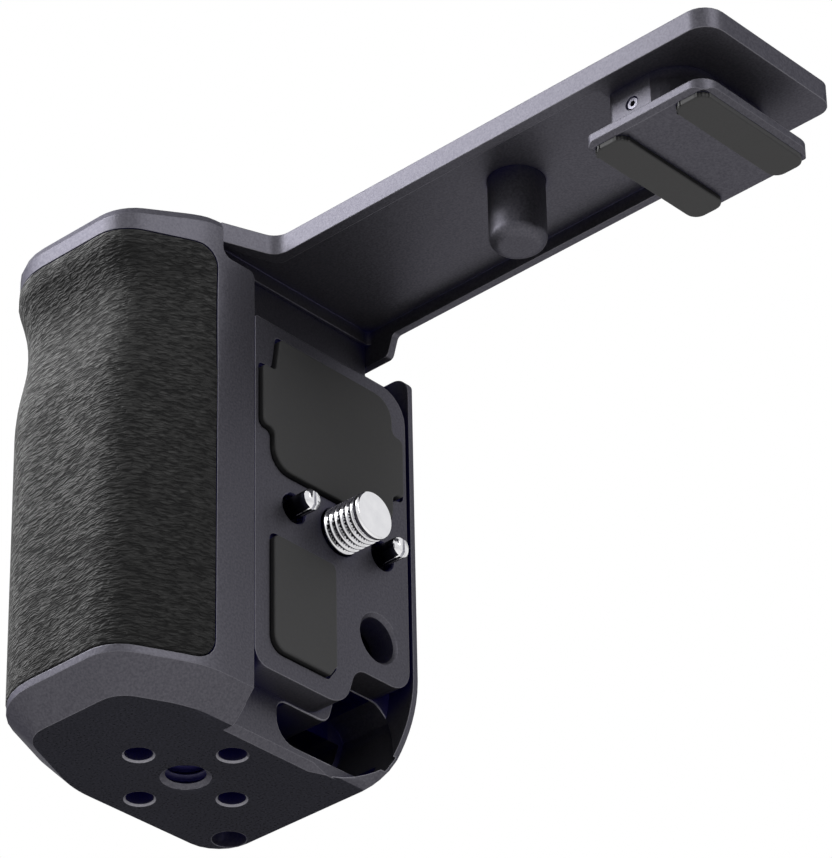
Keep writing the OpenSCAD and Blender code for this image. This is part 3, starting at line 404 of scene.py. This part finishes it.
# %% Even normals
def cut_small(mesh, step):
    """Cuts a mesh along planes across X, Y and Z, so that no face is larger than a step."""
    off_grid = 0.37  # a share of the step that keeps the planes off the solid's own edges
    for axis in range(3):
        values = [v.co[axis] for v in mesh.verts]
        count = int((max(values) - min(values)) / step)
        across = Vector([float(axis == i) for i in range(3)])
        for i in range(1, count + 1):
            parts = [*mesh.verts, *mesh.edges, *mesh.faces]
            bmesh.ops.bisect_plane(mesh, geom=parts, dist=0.001 * MM, plane_no=across,
                plane_co=across * (min(values) + (i - off_grid) * step))


def spread_spots(data, spacing):
    """Random points on a mesh's triangles, each with the normal and the area that it stands for."""
    dice = random.Random(1)
    spots, faces = [], []
    data.calc_loop_triangles()
    for part in data.loop_triangles:
        a, b, c = (data.vertices[i].co for i in part.vertices)
        for _ in range(1 + int(part.area / spacing ** 2)):
            u, v = dice.random(), dice.random()
            u, v = (u, v) if u + v < 1 else (1 - u, 1 - v)
            spots.append(a + (b - a) * u + (c - a) * v)
            faces.append((part.normal.copy(), min(part.area, spacing ** 2)))
    return spots, faces


def even_out(piece, reach, limit, spacing=0.6 * MM):
    """Turns each normal to the mean of the surface within reach that faces within a limit in degrees of it."""
    data = piece.data
    spots, faces = spread_spots(data, spacing)
    tree = KDTree(len(spots))
    for index, spot in enumerate(spots):
        tree.insert(spot, index)
    tree.balance()
    least = math.cos(math.radians(limit))
    own_share = 0.01 * spacing ** 2
    face_of = {index: face.normal for face in data.polygons for index in face.loop_indices}
    normals = []
    for loop in data.loops:
        facing = data.corner_normals[loop.index].vector
        if facing.dot(face_of[loop.index]) < least:
            facing = face_of[loop.index]
        total = facing * own_share
        for _, index, _ in tree.find_range(data.vertices[loop.vertex_index].co, reach):
            out, area = faces[index]
            if out.dot(facing) > least:
                total += out * area
        normals.append(total.normalized())
    data.normals_split_custom_set(normals)
    print("normals evened out:", len(normals), "from", len(spots), "spots")


print("helpers:", cut_small.__name__, spread_spots.__name__, even_out.__name__)

# %% [markdown]
# ## The grip body
# The handle's copy gets a narrow bevel round the strap mouth. Its flat foot is painted darker as painted shade,
# the chamfers of the four small holes and the bevel paler as painted highlight, and the way behind the mouth deep
# navy as painted shade. A face is chosen by where it lies, in mm, and by where it looks. For the way, it has to
# look towards the middle of the hollow.

# %% Grip body
loft_sharp = 22.6  # degrees, above the turn between two strips of the loft
mouth_floor_x = 12.6


def cut_mouth_rim(mesh):
    """Cuts a narrow bevel round the strap mouth, and round the way in from the rear lip. Then cuts small faces."""
    low_z, high_z, front_y = 1.5, 13.8, 2.9
    rim = [e for e in mesh.edges if e.is_manifold and e.is_convex and e.calc_face_angle() > 0.6
        and all(abs(v.co.x / MM - mouth_floor_x) < 0.01 and low_z < v.co.z / MM < high_z
            and v.co.y / MM > front_y for v in e.verts)]
    bmesh.ops.bevel(mesh, geom=rim, offset=0.2 * MM, affect="EDGES", segments=2, profile=0.5, material=-1)
    cut_small(mesh, 2.5 * MM)
    print("rim edges of the strap mouth:", len(rim), "faces:", len(mesh.faces))


def on_foot(at, out):
    """The flat foot."""
    return out.z < -0.99 and at.z < 0.1


def on_hole_chamfer(at, out):
    """The chamfers of the four small holes, outside the mouth of the tripod thread."""
    thread_mouth_r = 5
    return (-0.95 < out.z < -0.3 and at.z < 0.5 and at.x < 9 and abs(at.y) < 13
        and math.hypot(at.x, at.y) > thread_mouth_r)


def on_mouth_rim(at, out):
    """The bevel round the strap mouth."""
    return 12.3 < at.x < mouth_floor_x and 0.2 < out.x < 0.98 and 1.4 < at.z < 13.9 and at.y > 2.9


def in_strap_way(at, out):
    """The walls of the hollow behind the strap mouth."""
    middle = Vector((7, 11, 7.5))
    return (2 < at.x < 12.35 and 3 < at.y < 19.5 and 1.3 < at.z < 13.9
        and out.dot(middle - at) > 0)


body = smooth_metal("grip_body", pale_anodised, loft_sharp, cut_mouth_rim)
even_out(body, 2 * MM, 20)
# The flat foot gets the painted underside shade.
repaint(body, underside_shade_anodised, on_foot)
# The hole chamfers and the mouth's bevel get the painted highlight.
repaint(body, highlight_anodised, on_hole_chamfer)
repaint(body, highlight_anodised, on_mouth_rim)
# The way behind the mouth gets the painted navy shade.
repaint(body, navy_shade_anodised, in_strap_way)
print(body.name, "finishes:", len(body.data.materials))

# %% [markdown]
# ## The other metal pieces
# The plate, arm, foot, plunger, knob and screws follow in the same way. The roots of the screw's thread and the
# shanks of the pins are painted near black as painted shade, and the chamfers of the holes for the pins are
# painted paler as a painted highlight.

# %% Other metal pieces
machined_sharp = 30
milled = [smooth_metal(node, pale_anodised, machined_sharp) for node in ("mount_plate", "shutter_plunger",
    "shutter_button", "plunger_bush", "screw_knob")]
open_parts = [smooth_metal(node, open_anodised, machined_sharp) for node in ("top_arm", "shoe_foot")]
turned = [smooth_metal(node, bright_steel, machined_sharp) for node in ("camera_screw", "locating_pin_front",
    "locating_pin_rear")]
screws = [smooth_metal(node, plain_steel, machined_sharp) for node in ("knob_screw", "arm_screws", "foot_screws")]
screws.append(smooth_metal("foot_set_screw", grey_steel, machined_sharp))
for piece in [*milled, *open_parts, *turned, *screws]:
    keep_flat(piece)

axes = {mount["name"]: Vector(mount["pos_m"]) / MM for mount in frame["record"]["mounts"]}
axis = axes["camera_screw"]
plate = milled[0]
plate_face_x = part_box("mount_plate")[1].x / MM
root_r = 2.8
shank_end_x = 19
pin_holes_z = 30
# Painted shade: the thread's roots and the pins' shanks are painted near black.
repaint(turned[0], shade_steel, lambda at, out: at.x > plate_face_x and out.x < 0.95
    and math.hypot(at.y - axis.y, at.z - axis.z) < root_r)
# The chamfers of the pin holes get the painted highlight.
repaint(plate, highlight_anodised, lambda at, out: at.x > plate_face_x - 0.3 and 0.2 < out.x < 0.9
    and at.z > pin_holes_z)
for pin in turned[1:]:
    repaint(pin, shade_steel, lambda at, out: at.x < shank_end_x)
print("smooth pieces:", [piece.name for piece in [body, *milled, *open_parts, *turned, *screws]])

# %% [markdown]
# ## Springs
# Three coil springs sit inside, behind the two pins and under the button. A spring can't ride on one body,
# because one end is held and the other moves. Each gets a smooth copy with a mesh of its own, which rides on its
# node's body.


def squash_spring(node):
    """A smooth copy of a spring, with a mesh of its own."""
    spring = piece_from(merged_copy(node), node + "_coil", node, plain_steel)
    spring.data.shade_smooth()
    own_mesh(spring)


squash_spring("pin_spring_front")
squash_spring("pin_spring_rear")
squash_spring("plunger_spring")

# %% [markdown]
# ## Leather
# The wrap is thin black leather with a fine creased grain: short ridges that run round the grip, about 1.5 mm long
# and 0.36 mm high. A noise that is stretched along the ridges gives their swell. A Voronoi pattern, stretched the
# same way, gives the distance to the nearest crease, and a finer noise bends both so that they look grown. Their
# mix drives the bump and sets the colour, darker in the creases: the grain's own tone and a painted shade in the
# creases. Where the normal points down, the hide is painted darker still, a painted shade.

# %% Leather finish
leather, tree = blank_material("leather, creased grain")
place = put(tree, "TexCoord")
bend = put(tree, "TexNoise", {"Vector": place.outputs["Object"], "Scale": 1 / (1.3 * MM), "Detail": 2})
shift = put(tree, "VectorMath", {0: bend.outputs["Color"], 1: (0.5, 0.5, 0.5)}, operation="SUBTRACT")
shift = put(tree, "VectorMath", {0: shift.outputs[0], "Scale": 0.5 * MM}, operation="SCALE")
bent = put(tree, "VectorMath", {0: place.outputs["Object"], 1: shift.outputs[0]}, operation="ADD")
wrinkle_l = 1.5 * MM
wrinkle_h = 0.36 * MM
grain = put(tree, "Mapping", {"Vector": bent.outputs[0], "Rotation": (0, math.radians(-6), 0),
    "Scale": (wrinkle_l, wrinkle_l, wrinkle_h)}, vector_type="TEXTURE")
creases = put(tree, "TexVoronoi", {"Vector": grain.outputs[0], "Scale": 1}, feature="DISTANCE_TO_EDGE")
swell = put(tree, "MapRange", {"Value": creases.outputs["Distance"], "From Max": 0.25},
    interpolation_type="SMOOTHSTEP")
ridges = put(tree, "TexNoise", {"Vector": grain.outputs[0], "Scale": 0.9, "Detail": 1})
ridge = put(tree, "MapRange", {"Value": ridges.outputs["Fac"], "From Min": 0.38, "From Max": 0.62},
    interpolation_type="SMOOTHSTEP")
height = put(tree, "Mix", {0: 0.6, 2: swell.outputs[0], 3: ridge.outputs[0]})
# Colour from the grain's height: the grain's own tone, with painted shade in the creases.
tone = put(tree, "Mix", {0: height.outputs[0], 6: linear("#020203"), 7: linear("#262626")}, data_type="RGBA")
# Painted shade: faces whose normal points down are painted darker.
flat = put(tree, "NewGeometry")
slope = put(tree, "SeparateXYZ", {0: flat.outputs["Normal"]})
shade = put(tree, "MapRange", {"Value": slope.outputs["Z"], "From Min": 0.0, "From Max": -0.3})
tone = put(tree, "Mix", {0: shade.outputs[0], 6: tone.outputs[2], 7: linear("#040405")}, data_type="RGBA")
gloss = put(tree, "MapRange", {"Value": height.outputs[0], "To Min": 0.8, "To Max": 0.5})
relief = put(tree, "Bump", {"Height": height.outputs[0], "Strength": 1.0, "Distance": 0.16 * MM})
hide = put(tree, "BsdfPrincipled", {"Base Color": tone.outputs[2], "Roughness": gloss.outputs[0],
    "Specular IOR Level": 0.2, "Normal": relief.outputs[0]})
put(tree, "OutputMaterial", {"Surface": hide.outputs[0]})
print("finish:", leather.name)

# %% [markdown]
# ## The leather wrap
# The sheet is glued round the handle, with its edges tucked into a shallow groove. The solid is a lofted shell
# of flat strips with square edges. Its copy gets rolled edges, as glued leather has, from a bevel of every
# edge that turns by more than 55 degrees. Shading it smooth hides the strips, and leaves the one fold above the
# finger groove sharp.

# %% Leather wrap
sheet_mesh = merged_copy("leather_wrap")
join_flat(sheet_mesh)
edge_roll = 0.3 * MM
square_turn = math.radians(55)
square = [e for e in sheet_mesh.edges if e.is_manifold and e.calc_face_angle() > square_turn]
bmesh.ops.bevel(sheet_mesh, geom=square, offset=edge_roll, affect="EDGES", segments=3, profile=0.5, material=-1)
wrap = piece_from(sheet_mesh, "leather_wrap_skin", "leather_wrap", leather)
wrap.data.shade_smooth()
wrap.data.set_sharp_from_angle(angle=math.radians(loft_sharp))
print("square edges rolled over:", len(square), "faces:", len(wrap.data.polygons))

# %% [markdown]
# ## Rubber
# The pads and strips are moulded rubber, dark grey and matt, with a fine cast texture and a little dust. A
# noise at a third of a millimetre mottles the colour and the relief, because the real texture is too fine to
# show.

# %% Rubber finish
def moulded_rubber(name, dark, light):
    """Matt moulded rubber with a fine cast texture."""
    material, tree = blank_material(name)
    place = put(tree, "TexCoord")
    cast = put(tree, "TexNoise", {"Vector": place.outputs["Object"], "Scale": 1 / (0.35 * MM), "Detail": 3})
    dust = put(tree, "TexNoise", {"Vector": place.outputs["Object"], "Scale": 1 / (5 * MM), "Detail": 3})
    mottle = put(tree, "Mix", {0: 0.4, 2: cast.outputs["Fac"], 3: dust.outputs["Fac"]})
    tone = put(tree, "Mix", {0: mottle.outputs[0], 6: linear(dark), 7: linear(light)}, data_type="RGBA")
    # Painted shade: near other parts, found by a wide Ambient Occlusion, the rubber is painted darker.
    around = put(tree, "AmbientOcclusion", {"Distance": 30 * MM}, samples=8)
    contact_shade = put(tree, "MapRange", {"Value": around.outputs["AO"], "From Min": 0.95, "From Max": 0.5})
    tone = put(tree, "Mix", {0: contact_shade.outputs[0], 6: tone.outputs[2], 7: linear("#161617")}, data_type="RGBA")
    gloss = put(tree, "MapRange", {"Value": mottle.outputs[0], "To Min": 0.55, "To Max": 0.75})
    relief = put(tree, "Bump", {"Height": cast.outputs["Fac"], "Strength": 0.2, "Distance": 0.04 * MM})
    gum = put(tree, "BsdfPrincipled", {"Base Color": tone.outputs[2], "Roughness": gloss.outputs[0],
        "Specular IOR Level": 0.3, "Normal": relief.outputs[0]})
    put(tree, "OutputMaterial", {"Surface": gum.outputs[0]})
    return material


rubber = moulded_rubber("silicone rubber, moulded", "#303031", "#454546")
print("finish:", rubber.name)

# %% [markdown]
# ## The pads on the plate
# Two pads stand 0.6 mm proud of the plate, so that the camera's side rests on rubber. Moulded edges are never
# sharp, so the rim of each copy is bevelled. Flat triangles are first dissolved to one face, which leaves only
# the outline's own edges.

# %% Pads
def soften_rim(mesh, axis, value, width):
    """Bevels the edges that lie in one plane across an axis."""
    bmesh.ops.dissolve_limit(mesh, angle_limit=math.radians(1), verts=mesh.verts, edges=mesh.edges)
    rim = [e for e in mesh.edges if e.is_manifold and e.calc_face_angle() > 1
        and all(abs(v.co[axis] - value) < 0.01 * MM for v in e.verts)]
    bmesh.ops.bevel(mesh, geom=rim, offset=width, affect="EDGES", segments=3, profile=0.5, material=-1)
    return len(rim)


for node in ("upper_pad", "lower_pad"):
    pad = merged_copy(node)
    count = soften_rim(pad, 0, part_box(node)[1].x, 0.25 * MM)
    made = piece_from(pad, node + "_moulded", node, rubber)
    print(made.name, "rim edges:", count)

# %% [markdown]
# ## The strips on the shoe foot
# Two strips under the foot keep it from slipping in its shoe. They are moulded like the pads, with small ribs
# round their front ends. Each rib is a thin block that stands across the outline, turned with the corner.

# %% Strips
def add_ribs(mesh, corner_r, width, reach):
    """Adds small upright ribs round the two front corners of a strip."""
    xs, ys, zs = ([v.co[axis] for v in mesh.verts] for axis in range(3))
    tall = max(zs) - min(zs) - 0.1 * MM
    for angle in (195, 225, 255, 285, 315, 345):
        middle_x = min(xs) + corner_r if angle < 270 else max(xs) - corner_r
        turn = Matrix.Rotation(math.radians(angle), 4, "Z")
        middle = Vector((middle_x, min(ys) + corner_r, (min(zs) + max(zs)) / 2))
        centre = middle + turn @ Vector((corner_r, 0, 0))
        size = Matrix.Diagonal((reach, width, tall, 1))
        bmesh.ops.create_cube(mesh, size=1, matrix=Matrix.Translation(centre) @ turn @ size)


for node in ("foot_strip_near", "foot_strip_far"):
    strip = merged_copy(node)
    count = soften_rim(strip, 2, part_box(node)[0].z, 0.2 * MM)
    add_ribs(strip, 1.6 * MM, 0.28 * MM, 0.24 * MM)
    made = piece_from(strip, node + "_moulded", node, rubber)
    print(made.name, "rim edges:", count)
